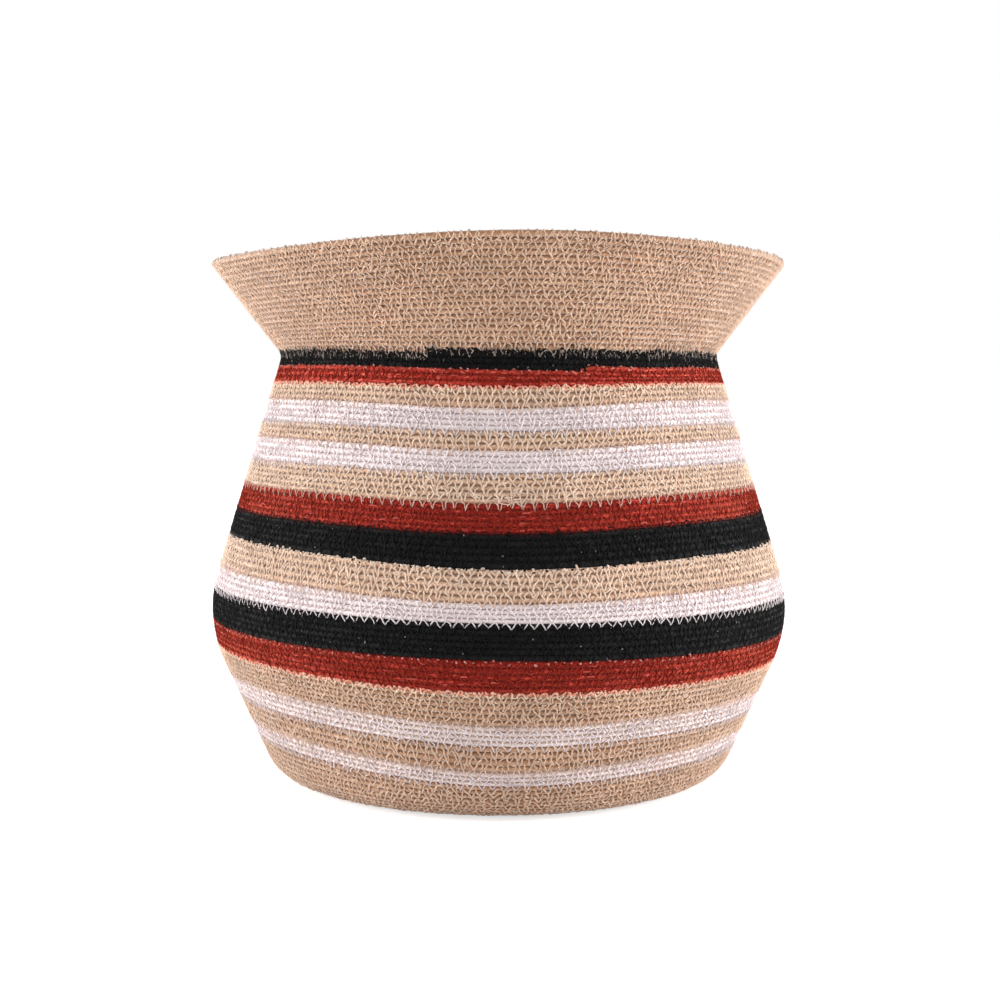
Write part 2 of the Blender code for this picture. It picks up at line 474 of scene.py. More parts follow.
class Thread(Enum):
    """The kinds of sewing thread."""

    NATURAL = ThreadFinish(
        "natural_thread", "natural_cord", "ecd0b9", "d6b297", 0.7,
        sheen=0.80, sheen_tint="fffaf6", radius=0.00041, sunk=0.00015,
    )
    TAN = ThreadFinish(
        "tan_thread", "natural_cord", "e2bda0", "c99f7f", 0.7,
        sheen=1.0, sheen_tint="fffcfa", radius=0.00040, sunk=0.00017,
    )
    WHITE = ThreadFinish(
        "white_thread", "white_cord", "f0e3e4", "e7d7d9", 0.6,
        sheen=0.02, shine=0.08, radius=0.00033, sunk=0.00012,
    )
    RED = ThreadFinish(
        "red_thread", "red_cord", "811712", "670d0a", 0.7,
        sheen=0.9, sheen_tint="ff7858", shine=0.05, radius=0.00032, sunk=0.00018,
    )
    BLACK = ThreadFinish(
        "black_thread", "black_cord", "0a090a", "080708", 0.6,
        shine=0.1, radius=0.00034, sunk=0.00010,
    )
    # Frayed black thread for the neck's seam, also used for painted shade in the gaps below the
    # shoulder's black band.
    BLACK_FRAY_AND_GAP_SHADE = ThreadFinish(
        "black_fray_and_gap_shade", "black_cord", "0e0c0c", "181311", 0.6, shine=0.1, radius=0.00036
    )
    WHITE_FINE = ThreadFinish(
        "fine_white_thread", "white_cord", "e4d9da", "cec2c4", 0.8, sheen=0.05, radius=0.00029
    )
    NATURAL_FINE = ThreadFinish(
        "fine_natural_thread", "natural_cord", "e6caba", "d0ac9a", 0.8, sheen=0.20, radius=0.00030
    )
    DARK_RED = ThreadFinish(
        "dark_red_thread", "black_cord", "420d0c", "1e0a0a", 0.9, shine=0.1, radius=0.00030
    )
    NATURAL_DYED = ThreadFinish(
        "dyed_natural_thread", "natural_cord", "d4b2a2", "b88678", 0.9, sheen=0.10, radius=0.00027
    )
    STAINED = ThreadFinish(
        "stained_thread", "natural_cord", "f0d4ba", "ee9e86", 0.85,
        sheen=0.05, radius=0.00044, stain_from=0.45,
    )
    WORN = ThreadFinish(
        "worn_thread", "natural_cord", "c4b2a6", "80746e", 0.9, radius=0.00026, sunk=0.00004
    )
    BLACK_HAIR = ThreadFinish(
        "black_hair", "black_cord", "141111", "2e2623", 0.8, shine=0.1, radius=0.00017
    )
    PALE_HAIR = ThreadFinish("pale_hair", "natural_cord", "a8988e", "685e5a", 0.9, radius=0.00017)
    PALE_TIPS = ThreadFinish(
        "pale_thread_tips", "natural_cord", "c88c84", "964640", 0.8, sheen=0.05, radius=0.00036
    )
    STAINED_TIPS = ThreadFinish(
        "stained_thread_tips", "natural_cord", "f2baa6", "e87e68", 1.0, sheen=0.05, radius=0.00054
    )
    NATURAL_TIPS = ThreadFinish(
        "natural_thread_tips", "natural_cord", "e8d6ca", "c8b0a0", 0.8, sheen=0.05, radius=0.00047
    )
    # Bright red strands that are painted glints on the red cord.
    RED_GLINT_STRANDS = ThreadFinish(
        "red_painted_glint_strands", "red_cord", "c44e40", "96261c", 1.0, sheen=0.1, radius=0.00034
    )
    LINT = ThreadFinish("pale_lint", "natural_cord", "969294", "5a585c", 0.9, radius=0.00020)


# The basket's shape


def distances(points: Values) -> Values:
    """Return how far along its line each point is, for lines whose points lie along axis -2."""
    runs = np.linalg.norm(np.diff(points, axis=-2), axis=-1)
    return np.insert(np.cumsum(runs, axis=-1), 0, 0.0, axis=-1)


def bell(distance: Values, width: float) -> Values:
    """Return a bell curve that is 1 at no distance and falls off over a width."""
    return np.exp(-((distance / width) ** 2))


def turned(azimuth: Values, centre: float) -> Values:
    """Return how far round azimuths lie from another one, at most half a turn to either side."""
    return (azimuth - centre + math.pi) % FULL_TURN - math.pi


@dataclass(frozen=True)
class Outline:
    """The outside of the basket from the side: straight runs that meet in rounded corners."""

    foot_radius: float = 0.1125
    belly_radius: float = 0.1481
    belly_height: float = 0.0803
    neck_radius: float = 0.1088
    neck_height: float = 0.2096
    rim_radius: float = 0.1425
    rim_height: float = 0.2535
    foot_rounding: float = 0.020
    belly_rounding: float = 0.063
    neck_rounding: float = 0.0047
    arc_steps: int = 24

    def rounded(self, corners: Values, rounding: float) -> list[Values]:
        """Round one corner of the outline.

        Args:
            corners: The corner before it, the corner itself and the one after it.
            rounding: The radius of the arc.

        Returns:
            The points of the arc.
        """
        before, corner, after = corners
        ways = [(end - corner) / np.linalg.norm(end - corner) for end in (before, after)]
        half_angle = math.acos(float(np.dot(*ways))) / 2
        middle = sum(ways) / np.linalg.norm(sum(ways))
        centre = corner + middle * rounding / math.sin(half_angle)
        ends = [corner + way * rounding / math.tan(half_angle) - centre for way in ways]
        sweep = math.pi - 2 * half_angle
        parts = np.linspace(0.0, 1.0, self.arc_steps + 1)
        shares = [np.sin(part * sweep) / math.sin(sweep) for part in (1 - parts, parts)]
        return list(centre + np.outer(shares[0], ends[0]) + np.outer(shares[1], ends[1]))

    def points(self) -> Values:
        """Find the outline from the middle of the base to the rim.

        Returns:
            The radius and height of each of its points.
        """
        corners = np.array([
            (0.0, 0.0),
            (self.foot_radius, 0.0),
            (self.belly_radius, self.belly_height),
            (self.neck_radius, self.neck_height),
            (self.rim_radius, self.rim_height),
        ])
        roundings = (self.foot_rounding, self.belly_rounding, self.neck_rounding)
        points = [corners[0]]
        for first, rounding in enumerate(roundings):
            points += self.rounded(corners[first : first + 3], rounding)
        return np.array([*points, corners[-1]])


class Sway(NamedTuple):
    """How far the turns of a hand-guided wall wander from level at one station.

    The dip is at the front, the lean lifts the left side and lowers the right one, and the lift is
    the same all round.
    """

    station: float
    dip: float
    lean: float
    lift: float


SWAYS = (
    Sway(0.1000, 0.0, 0.0, 0.0),
    Sway(0.1310, -0.0044, 0.0026, 0.0010),
    Sway(0.1393, -0.0066, 0.0020, 0.0018),
    Sway(0.1503, -0.0042, 0.0036, 0.0026),
    Sway(0.1613, -0.0046, 0.0044, 0.0027),
    Sway(0.1778, -0.0025, 0.0035, 0.0012),
    Sway(0.1916, 0.0, 0.0029, 0.0001),
    Sway(0.2080, -0.0006, 0.0017, 0.0007),
    Sway(0.2190, -0.0038, 0.0015, 0.0009),
    Sway(0.2328, -0.0047, 0.0016, 0.0029),
    Sway(0.2465, -0.0033, 0.0004, 0.0034),
    Sway(0.2603, -0.0038, 0.0002, 0.0032),
    Sway(0.2740, -0.0028, 0.0, 0.0021),
    Sway(0.2850, -0.0042, 0.0003, 0.0026),
    Sway(0.2932, -0.0030, 0.0003, 0.0020),
    Sway(0.3042, -0.0046, -0.0002, 0.0027),
    Sway(0.3125, -0.0026, -0.0003, 0.0022),
    Sway(0.3207, -0.0014, 0.0018, 0.0009),
    Sway(0.3290, -0.0021, 0.0016, 0.0013),
    Sway(0.3450, 0.0, 0.0, 0.0),
)


@dataclass
class Wall:
    """The wall's outside, and the one coil wound on it from the middle of the base to the rim."""

    body_turns: int
    rim_turns: int
    outline: Outline = field(default_factory=Outline)
    base_turns: int = 35
    first_turn_radius: float = 0.00325
    wall_thickness: float = 0.0031
    cord_thickness: float = 0.0027
    dip_width: float = math.radians(32.0)
    settled_azimuth: float = math.radians(38.0)
    settled_width: float = math.radians(15.0)
    settled_station: float = 0.3230
    settled_reach: float = 0.0060
    settled_drop: float = 0.0013
    rim_lift: float = 0.0038
    rim_pull: float = 0.0045
    rim_wave: float = 0.0013
    most_flare: float = 1.2
    base_raise: float = 0.0005
    base_raise_end: float = 0.012
    run_on: float = 0.02
    taper_turns: float = 0.25
    taper_share: float = 0.25

    def __post_init__(self) -> None:
        """Measure the outline and share it out among the turns."""
        points = self.outline.points()
        stations = distances(points)
        self.turns = self.body_turns + self.rim_turns
        self.flat_edge = float(stations[1])
        self.neck = float(stations[-2 - self.outline.arc_steps // 2])
        self.rim = float(stations[-1])
        self.base_pitch = (self.flat_edge - self.first_turn_radius) / self.base_turns
        self.pitch = (self.neck - self.flat_edge) / self.body_turns
        self.rim_pitch = (self.rim - self.neck) / self.rim_turns
        last_run = points[-1] - points[-2]
        past_rim = points[-1] + last_run / np.linalg.norm(last_run) * self.run_on
        self.radii, self.heights = np.vstack([points, past_rim]).T
        self.stations = np.append(stations, self.rim + self.run_on)

    def radius(self, station: Values) -> Values:
        """Return the outline's radius at stations."""
        return np.interp(station, self.stations, self.radii)

    def height(self, station: Values) -> Values:
        """Return the outline's height at stations."""
        return np.interp(station, self.stations, self.heights)

    def station(self, turn: Values) -> Values:
        """Find the station of the middle of the cord.

        Args:
            turn: The turns of the coil, which are below nought on the base.

        Returns:
            The station at each turn.
        """
        base = self.flat_edge + turn * self.base_pitch
        body = self.flat_edge + turn * self.pitch
        rim = self.neck + (turn - self.body_turns) * self.rim_pitch
        return np.where(turn < 0, base, np.where(turn < self.body_turns, body, rim))

    def pitch_at(self, turn: Values) -> Values:
        """Return the width of the coil's turns on the base and on the wall."""
        return np.where(turn < 0, self.base_pitch, self.pitch)

    def azimuth(self, turn: Values) -> Values:
        """Return the azimuth of the coil at each turn, which starts at the back."""
        return math.pi - FULL_TURN * turn

    def taper(self, turn: Values) -> Values:
        """Return the coil's share of its full width, which falls off to its end at the rim."""
        into_end = np.clip((turn - self.turns + self.taper_turns) / self.taper_turns, 0, 1)
        return 1 - into_end * (1 - self.taper_share)

    def coil_top(self, turn: Values) -> Values:
        """Return the station of the last turn's top edge, and no limit for the turns below it."""
        top = self.station(turn) + self.rim_pitch * (self.taper(turn) - 0.5)
        return np.where(turn < self.turns - 1, self.rim + self.run_on, top)

    def sway(self, station: Values, azimuth: Values) -> Values:
        """Find how far the turns lie above their level place.

        Args:
            station: How far each point is along the outline.
            azimuth: Its angle from the front.

        Returns:
            The distance along the outline at each point.
        """
        known, *rows = np.array(SWAYS).T
        dip, lean, lift = (np.interp(station, known, row) for row in rows)
        settled = bell(turned(azimuth, self.settled_azimuth), self.settled_width)
        settled = settled * bell(station - self.settled_station, self.settled_reach)
        dip = dip * bell(turned(azimuth, 0.0), self.dip_width)
        return dip - lean * np.sin(azimuth) + lift - self.settled_drop * settled

    def place(self, station: Values, azimuth: Values, depth: Values) -> Values:
        """Find the places of points of the wall.

        Args:
            station: How far each point is along the outline.
            azimuth: Its angle from the front.
            depth: How deep it is in the wall.

        Returns:
            The points, with x, y and z along the last axis.
        """
        station = np.maximum(station + self.sway(station, azimuth), 0.0)
        above, below = station + self.pitch / 2, station - self.pitch / 2
        rise = self.height(above) - self.height(below)
        run = self.radius(above) - self.radius(below)
        size = np.hypot(rise, run)
        raised = (self.flat_edge + self.base_raise_end - station) / self.base_raise_end
        depth = depth + self.base_raise * np.clip(raised, 0, 1)
        flare = np.clip((station - self.neck) / (self.rim - self.neck), 0, self.most_flare)
        radius = self.radius(station) - rise / size * depth
        radius = radius - flare * np.cos(azimuth) ** 2 * self.rim_pull
        height = self.height(station) + run / size * depth
        height = height + flare * np.cos(azimuth) ** 4 * self.rim_lift
        height = height + flare * np.sin(2 * azimuth) * self.rim_wave
        return np.stack([radius * np.sin(azimuth), -radius * np.cos(azimuth), height], axis=-1)


# Meshes


def wander(dice: np.random.Generator, places: Values, spacing: float, amount: float) -> Values:
    """Draw a smooth random value for each place.

    Args:
        dice: The source of random numbers.
        places: Distances along a cord, in rising order.
        spacing: The distance between two random values.
        amount: How far most values lie from nought.

    Returns:
        One value for each place.
    """
    first, last = float(places[0]), float(places[-1])
    count = int((last - first) / spacing) + 4
    values = dice.normal(0.0, amount, count)
    share = np.clip((places - (first - spacing)) / spacing, 0, count - 1.001)
    low = share.astype(int)
    part = share - low
    part = part * part * (3 - 2 * part)
    return values[low] * (1 - part) + values[low + 1] * part


def pairs(first: Values, second: Values) -> Values:
    """Return the pairs of two arrays of values, one pair a row."""
    return np.stack(np.broadcast_arrays(first, second), axis=-1).reshape(-1, 2)


@dataclass
class MeshParts:
    """The points and faces of a mesh, with what its two maps say at each corner."""

    points: Values
    corners: Values
    sizes: Values
    lay: Values
    bake: Values
    level_name: str
    level: Values

    def mesh(self, name: str) -> bpy.types.Mesh:
        """Make the Blender mesh.

        Args:
            name: The mesh's name.

        Returns:
            The mesh.
        """
        made = bpy.data.meshes.new(name)
        made.vertices.add(len(self.points))
        made.vertices.foreach_set("co", self.points.astype(np.float32).ravel())
        made.loops.add(len(self.corners))
        made.loops.foreach_set("vertex_index", self.corners.astype(np.int32))
        starts = np.cumsum(self.sizes) - self.sizes
        made.polygons.add(len(self.sizes))
        made.polygons.foreach_set("loop_start", starts.astype(np.int32))
        for map_name, values in ((LAY_MAP, self.lay), (BAKE_MAP, self.bake)):
            layer = made.uv_layers.new(name=map_name)
            layer.uv.foreach_set("vector", values.astype(np.float32).ravel())
        layer = made.attributes.new(self.level_name, "FLOAT", "POINT")
        layer.data.foreach_set("value", self.level.astype(np.float32).ravel())
        made.update(calc_edges=True)
        made.shade_smooth()
        made.validate()
        return made


CAP_SPOT = 0.2
CAP_LAY = 0.25
CELL_MARGIN = 0.04


def long_tube(rings: Values, lengths: Values, groove_shade: Values) -> MeshParts:
    """Make one long closed tube.

    Args:
        rings: The points of each ring, with rings along the first axis.
        lengths: How far along the tube each ring is.
        groove_shade: How far each point is down between two turns, from 0 to 1, which places the
            painted groove shade.

    Returns:
        The parts of its mesh.
    """
    count, sides = rings.shape[:2]
    steps = np.arange(count - 1)[:, None]
    side = np.arange(sides)[None, :]
    after = (side + 1) % sides
    low, high = steps * sides, (steps + 1) * sides
    quads = np.stack([low + side, low + after, high + after, high + side], axis=-1)
    girth = float(np.linalg.norm(np.roll(rings[0], -1, axis=0) - rings[0], axis=-1).sum())
    rows = max(round(math.sqrt(lengths[-1] / girth)), 1)
    steps_a_row = math.ceil((count - 1) / rows)
    row, column = np.divmod(steps[..., None], steps_a_row)
    ends = np.array([0, 0, 1, 1])
    around = (side[..., None] + np.array([0, 1, 1, 0])) / sides
    lay = pairs(lengths[steps[..., None] + ends], around)
    bake = pairs((column + ends) / steps_a_row, (row + around) / rows)
    turns = side[0] / sides * FULL_TURN
    spot = np.stack([np.cos(turns), np.sin(turns)], axis=-1) * CAP_SPOT / steps_a_row
    caps_lay = np.full((2 * sides, 2), CAP_LAY)
    caps_lay[sides:, 0] = lengths[-1]
    caps_bake = np.concatenate([spot, spot[::-1]]) + [0.5 / steps_a_row, 0.5 / rows]
    return MeshParts(
        rings.reshape(-1, 3),
        np.concatenate([quads.reshape(-1), side[0, ::-1], (count - 1) * sides + side[0]]),
        np.concatenate([np.full((count - 1) * sides, 4), [sides, sides]]),
        np.concatenate([lay, caps_lay]),
        np.concatenate([bake, caps_bake]),
        GROOVE_SHADE,
        groove_shade,
    )


def short_tubes(
    spines: Values, radii: Values, flatness: float, normals: Values, rises: Values, sides: int
) -> MeshParts:
    """Make many short tubes that taper to a point at both ends.

    Args:
        spines: The points of each tube, with tubes along the first axis.
        radii: The tube's radius at each of its inner points.
        flatness: How thick each tube is for its width.
        normals: The direction out of the cloth at each inner point.
        rises: How far up its stitch each point is, from 0 to 1.
        sides: How many sides a tube has.

    Returns:
        The parts of one mesh that holds them all.
    """
    count, points = spines.shape[:2]
    along = spines[:, 2:] - spines[:, :-2]
    across = np.cross(along, normals)
    across /= np.linalg.norm(across, axis=-1, keepdims=True)
    out = np.cross(across, along)
    out /= np.linalg.norm(out, axis=-1, keepdims=True)
    turns = np.arange(sides) / sides * FULL_TURN
    out = out[:, :, None] * flatness * np.cos(turns)[:, None]
    spread = out + across[:, :, None] * np.sin(turns)[:, None]
    rings = spines[:, 1:-1, None] + spread * radii[:, :, None, None]
    vertices = np.concatenate([spines[:, :1], rings.reshape(count, -1, 3), spines[:, -1:]], axis=1)
    ring_rises = np.repeat(rises[:, 1:-1], sides, axis=1)
    levels = np.concatenate([rises[:, :1], ring_rises, rises[:, -1:]], axis=1)
    # Each corner of a face is a point of the spine and a share of the way to the next side.
    tip = points - 1
    faces = [[(0, 0.5), (1, 1), (1, 0)]]
    faces += [[(ring, 0), (ring, 1), (ring + 1, 1), (ring + 1, 0)] for ring in range(1, tip - 1)]
    faces += [[(tip - 1, 0), (tip - 1, 1), (tip, 0.5)]]
    corners = [(*corner, side) for face in faces for side in range(sides) for corner in face]
    point, shift, side = np.array(corners).T
    point = point.astype(int)
    around = (side + shift) / sides
    vertex = 1 + (point - 1) * sides + ((side + shift) % sides).astype(int)
    vertex = np.where(point == 0, 0, np.where(point == tip, vertices.shape[1] - 1, vertex))
    sizes = [len(face) for face in faces for _ in range(sides)]
    reached = distances(spines)
    ends = np.cumsum(reached[:, -1])
    starts = np.concatenate([[0.0], ends[:-1]])
    columns = math.ceil(math.sqrt(count))
    row, column = np.divmod(np.arange(count)[:, None], columns)
    fill = 1 - 2 * CELL_MARGIN
    cell_u = (column + CELL_MARGIN + fill * point / tip) / columns
    cell_v = (row + CELL_MARGIN + fill * around) / columns
    return MeshParts(
        vertices.reshape(-1, 3),
        (np.arange(count)[:, None] * vertices.shape[1] + vertex).reshape(-1),
        np.tile(sizes, count),
        pairs(starts[:, None] + reached[:, point], around),
        pairs(cell_u, cell_v),
        RISE,
        levels,
    )


# Lengths of cord and seams


@dataclass
class CordTurns:
    """A length of cord wound on the wall, turn upon turn."""

    wall: Wall
    first_turn: float
    last_turn: float
    seed: int
    finish: Cord
    steps_per_turn: int = 120
    sides: int = 8
    end_gap: float = 0.0003
    end_slant: float = 0.0080
    slant_reach: float = 0.040
    slant_radius: float = 0.05
    least_radius: float = 0.01
    sideways_wander: float = 0.00006
    depth_wander: float = 0.00010
    width_wander: float = 0.035
    wander_spacing: float = 0.011
    thinning: float = 0.3

    def parts(self) -> MeshParts:
        """Wind the cord.

        Returns:
            The parts of its mesh.
        """
        dice = np.random.default_rng(self.seed)
        wall = self.wall
        middle = wall.station(np.array((self.first_turn + self.last_turn) / 2))
        girth = FULL_TURN * max(float(wall.radius(middle)), self.least_radius)
        gap = self.end_gap / 2 / girth
        steps = round((self.last_turn - self.first_turn) * self.steps_per_turn)
        turn = np.linspace(self.first_turn + gap, self.last_turn - gap, steps + 1)
        station = wall.station(turn)
        azimuth = wall.azimuth(turn)
        lengths = distances(wall.place(station, azimuth, turn * 0))
        station = station + wander(dice, lengths, self.wander_spacing, self.sideways_wander)
        size = 1 + wander(dice, lengths, self.wander_spacing, self.width_wander)
        depth = wall.wall_thickness - wall.cord_thickness / 2
        depth = depth + wander(dice, lengths, self.wander_spacing, self.depth_wander)
        taper = wall.taper(turn)
        half_width = wall.pitch_at(turn) / 2 * self.finish.value.width
        station = station - (1 - taper) * half_width
        half_width = half_width * taper
        half_thickness = wall.cord_thickness / 2 * size * (1 - self.thinning * (1 - taper))
        angle = np.arange(self.sides) / self.sides * FULL_TURN - math.pi / 2
        to_end = np.minimum(lengths, lengths[-1] - lengths)
        slanted = np.clip(1 - to_end / self.slant_reach, 0, 1) * self.end_slant
        slant = slanted / np.maximum(wall.radius(station), self.slant_radius)
        rings = wall.place(
            station[:, None] + half_width[:, None] * np.sin(angle),
            azimuth[:, None] + slant[:, None] * np.sin(angle),
            depth[:, None] - half_thickness[:, None] * np.cos(angle),
        )
        # The sides of each ring, down between turns, are marked for painted groove shade.
        return long_tube(rings, lengths, 1 - np.abs(np.cos(angle)) + turn[:, None] * 0)


@dataclass(frozen=True)
class LegPath:
    """How one leg of a zigzag lies, from the hole at its low end to the hole at its high end.

    The rises are shares of the way up and the runs are shares of the way along. The depths are
    measured from the side of the wall that the leg shows on, and the swells are what each inner
    point's radius is multiplied by.
    """

    rises: tuple[float, ...]
    runs: tuple[float, ...]
    depths: tuple[float, ...]
    swells: tuple[float, ...]


OUTSIDE_LEG = LegPath(
    (0.0, 0.05, 0.34, 0.64, 0.88, 0.99, 1.0),
    (0.0, 0.05, 0.23, 0.42, 0.62, 0.82, 1.0),
    (0.0020, 0.00070, 0.00024, 0.00020, 0.00024, 0.00040, 0.0016),
    (0.95, 1.0, 1.0, 1.05, 1.15),
)
OPEN_LEG = replace(OUTSIDE_LEG, runs=(0.0, 0.05, 0.34, 0.64, 0.86, 0.96, 1.0))
NARROW_LEG = replace(OUTSIDE_LEG, runs=(0.0, 0.04, 0.17, 0.31, 0.54, 0.80, 1.0))
INSIDE_LEG = LegPath(
    (0.0, 0.27, 0.86, 1.0), (0.0, 0.27, 0.86, 1.0), (0.0012, -0.00015, -0.00010, 0.0012), (1.0, 1.1)
)
EDGE_LEG = LegPath(
    (0.0, 0.08, 0.45, 0.88, 1.0, 0.86),
    (0.0, 0.08, 0.45, 0.88, 1.0, 1.0),
    (0.0020, 0.00075, 0.00020, 0.00085, 0.0017, 0.0026),
    (1.0, 1.0, 1.0, 1.0),
)


@dataclass(frozen=True)
class Seam:
    """How a zigzag lies across the line between two turns of the coil.

    The holes are in turns of cord above or below that line.
    """

    low_hole: float = -1.00
    high_hole: float = 0.56
    hole_jitter: float = 0.17
    stitch_length: float = 0.0049
    neatness: float = 0.0
    thread: Thread | None = None
    leg: LegPath = OUTSIDE_LEG


@dataclass(frozen=True)
class Strands:
    """Loose strands on a band: lint, fibre ends, or the tips of stitches along its lower edge.

    They lie on all of the band, or on a number of its turns from a start. Slant and levels are in
    turns of cord. With a phase they are laid in even steps, and without one they are scattered.
    Bright red strands are painted glints, and dark strands in gaps are painted shade.
    """

    label: str
    thread: Thread | None
    per_metre: float
    length: float = 0.0034
    slant: float = 0.35
    levels: Span = (0.05, 0.95)
    turns: float | None = None
    phase: float | None = None
    start: float = 0.0
    step_jitter: float = 0.12
    shortest_share: float = 0.3
    bow: float = 0.16
    depth: float = 0.00022
    end_depth: float = 0.0006


def leg_ends(values: Values, low: Values) -> tuple[Values, Values]:
    """Return what each leg has at its low end and at its high end, from what its holes have."""
    first, second, rising = values[:-1, None], values[1:, None], low[:-1, None]
    return np.where(rising, first, second), np.where(rising, second, first)


@dataclass
class Stitching:
    """A zigzag seam that joins each turn of the coil to the one below it."""

    wall: Wall
    first_turn: float
    last_turn: float
    seed: int
    finish: Thread
    seam: Seam = Seam()
    strands: Strands = Strands("", None, 0.0)
    inside: bool = False
    stitch_jitter: float = 0.00042
    feed_spacing: float = 0.035
    feed_wander: float = 0.0014
    slack: float = 0.00036
    depth_jitter: float = 0.00007
    radius_jitter: float = 0.10
    least_radius_share: float = 0.4
    steps_per_turn: int = 90

    def __post_init__(self) -> None:
        """Measure the line between the two turns."""
        steps = int((self.last_turn - self.first_turn) * self.steps_per_turn) + 2
        self.line_turns = np.linspace(self.first_turn, self.last_turn, steps)
        azimuth = self.wall.azimuth(self.line_turns)
        station = self.wall.station(self.line_turns - 0.5)
        self.line_lengths = distances(self.wall.place(station, azimuth, azimuth * 0))
        self.length = float(self.line_lengths[-1])
        self.turns_per_metre = (self.last_turn - self.first_turn) / self.length

    def turns_at(self, lengths: Values) -> Values:
        """Return the turns at distances along the line."""
        return np.interp(lengths, self.line_lengths, self.line_turns)

    def legs(self, dice: np.random.Generator) -> Legs:
        """Lay every leg of the zigzag.

        Args:
            dice: The source of random numbers.

        Returns:
            The turns, levels, depths and rises of the points, one row a leg.
        """
        seam, leg = self.seam, self.seam.leg
        loose_share = 1 - seam.neatness
        holes = np.arange(0.0, self.length, seam.stitch_length / 2)
        holes = holes + dice.normal(0.0, self.stitch_jitter * loose_share, len(holes))
        holes = holes + wander(dice, holes, self.feed_spacing, self.feed_wander * loose_share)
        hole_turns = self.turns_at(np.clip(holes, 0.0, self.length))
        low = np.arange(len(holes)) % 2 == 0
        level = np.where(low, seam.low_hole, seam.high_hole)
        level = level + dice.normal(0.0, seam.hole_jitter, len(holes))
        low_turn, high_turn = leg_ends(hole_turns, low)
        low_level, high_level = leg_ends(level, low)
        levels = low_level + (high_level - low_level) * np.array(leg.rises)
        loose = np.zeros(len(leg.rises))
        loose[1:-1] = self.slack * self.turns_per_metre * loose_share
        turns = low_turn + (high_turn - low_turn) * np.array(leg.runs)
        turns = turns + dice.normal(0.0, 1.0, levels.shape) * loose
        depths = np.array(leg.depths) + self.finish.value.sunk
        depths = depths + dice.normal(0.0, self.depth_jitter, levels.shape)
        return turns, levels, depths, np.array(leg.rises) + levels * 0

    def strays(self, dice: np.random.Generator) -> Legs:
        """Lay the loose strands on the cord.

        Args:
            dice: The source of random numbers.

        Returns:
            The turns, levels, depths and rises of the points, one row a strand.
        """
        strands = self.strands
        count = int(self.length * strands.per_metre)
        places = dice.uniform(0.0, self.length, count)
        if strands.phase is not None:
            jitter = dice.normal(0.0, strands.step_jitter, count)
            places = (np.arange(count) + strands.phase + jitter) * self.length / count
        level = dice.uniform(*strands.levels, count)[:, None]
        reach = dice.uniform(strands.shortest_share, 1.0, count)[:, None] * strands.length / 2
        slant = dice.normal(0.0, strands.slant, count)[:, None]
        bow = dice.normal(0.0, strands.bow, count)[:, None]
        share = np.linspace(-1.0, 1.0, len(self.seam.leg.rises))[None, :]
        turns = self.turns_at(places)[:, None] + share * reach * self.turns_per_metre
        levels = level + slant * share + bow * (1 - share * share)
        depths = strands.depth + strands.end_depth * np.abs(share) ** 4
        depths = depths + dice.normal(0.0, self.depth_jitter, levels.shape)
        return turns, levels, depths, levels * 0 + 0.5

    def parts(self) -> MeshParts:
        """Sew the seam, with one short tube for each leg and each strand.

        Returns:
            The parts of its mesh.
        """
        dice = np.random.default_rng(self.seed)
        wall, finish = self.wall, self.finish.value
        sets = [self.legs(dice), self.strays(dice)]
        turns, levels, depths, rises = (np.concatenate(values) for values in zip(*sets))
        if self.inside:
            depths = wall.wall_thickness - depths
        station = wall.station(turns - 0.5) + levels * wall.pitch_at(turns)
        station = np.clip(station, finish.radius, wall.coil_top(turns))
        azimuth = wall.azimuth(turns)
        spines = wall.place(station, azimuth, depths)
        outward = spines - wall.place(station, azimuth, depths + finish.radius)
        normals = outward[:, 1:-1] * (-1 if self.inside else 1)
        spread = 1 + dice.normal(0.0, self.radius_jitter, (len(turns), 1))
        radii = finish.radius * np.maximum(spread, self.least_radius_share)
        radii = radii * np.array(self.seam.leg.swells)
        return short_tubes(spines, radii, finish.flatness, normals, rises, 3 if self.inside else 4)


class EdgeStitching(Stitching):
    """The seam over the rim's edge, which follows the coil's end down as it tapers."""

    def legs(self, dice: np.random.Generator) -> Legs:
        """Return the points of every leg, lowered where the coil's end tapers."""
        turns, levels, depths, rises = super().legs(dice)
        return turns, levels - 1 + self.wall.taper(turns - 1), depths, rises


class LooseStrands(Stitching):
    """Strands that lie on the cord and sew nothing."""

    def legs(self, dice: np.random.Generator) -> Legs:
        """Return no points at all."""
        none = np.zeros((0, len(self.seam.leg.rises)))
        return none, none, none, none


# The basket's pieces


class Maker:
    """Turns cord and seams into pieces of the basket, and keeps one material for each finish."""

    def __init__(self) -> None:
        """Start with no materials."""
        self.materials: dict[Cord | Thread, bpy.types.Material] = {}
        self.collection = bpy.data.collections.new("kiondo_basket_looks")
        bpy.context.scene.collection.children.link(self.collection)

    def piece(self, name: str, source: CordTurns | Stitching, solid: str) -> None:
        """Add one piece, which rides on the basket's only body.

        Args:
            name: The piece's name.
            source: The length of cord or the seam that it shows.
            solid: The name of the solid that it replaces.
        """
        finish = source.finish
        if finish not in self.materials:
            self.materials[finish] = finish.value.material()
        mesh = source.parts().mesh(name)
        mesh.materials.append(self.materials[finish])
        made = bpy.data.objects.new(name, mesh)
        self.collection.objects.link(made)
        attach(made, BODY)
        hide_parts(solid)
        LOG.info("%s: %d faces", name, len(mesh.polygons))


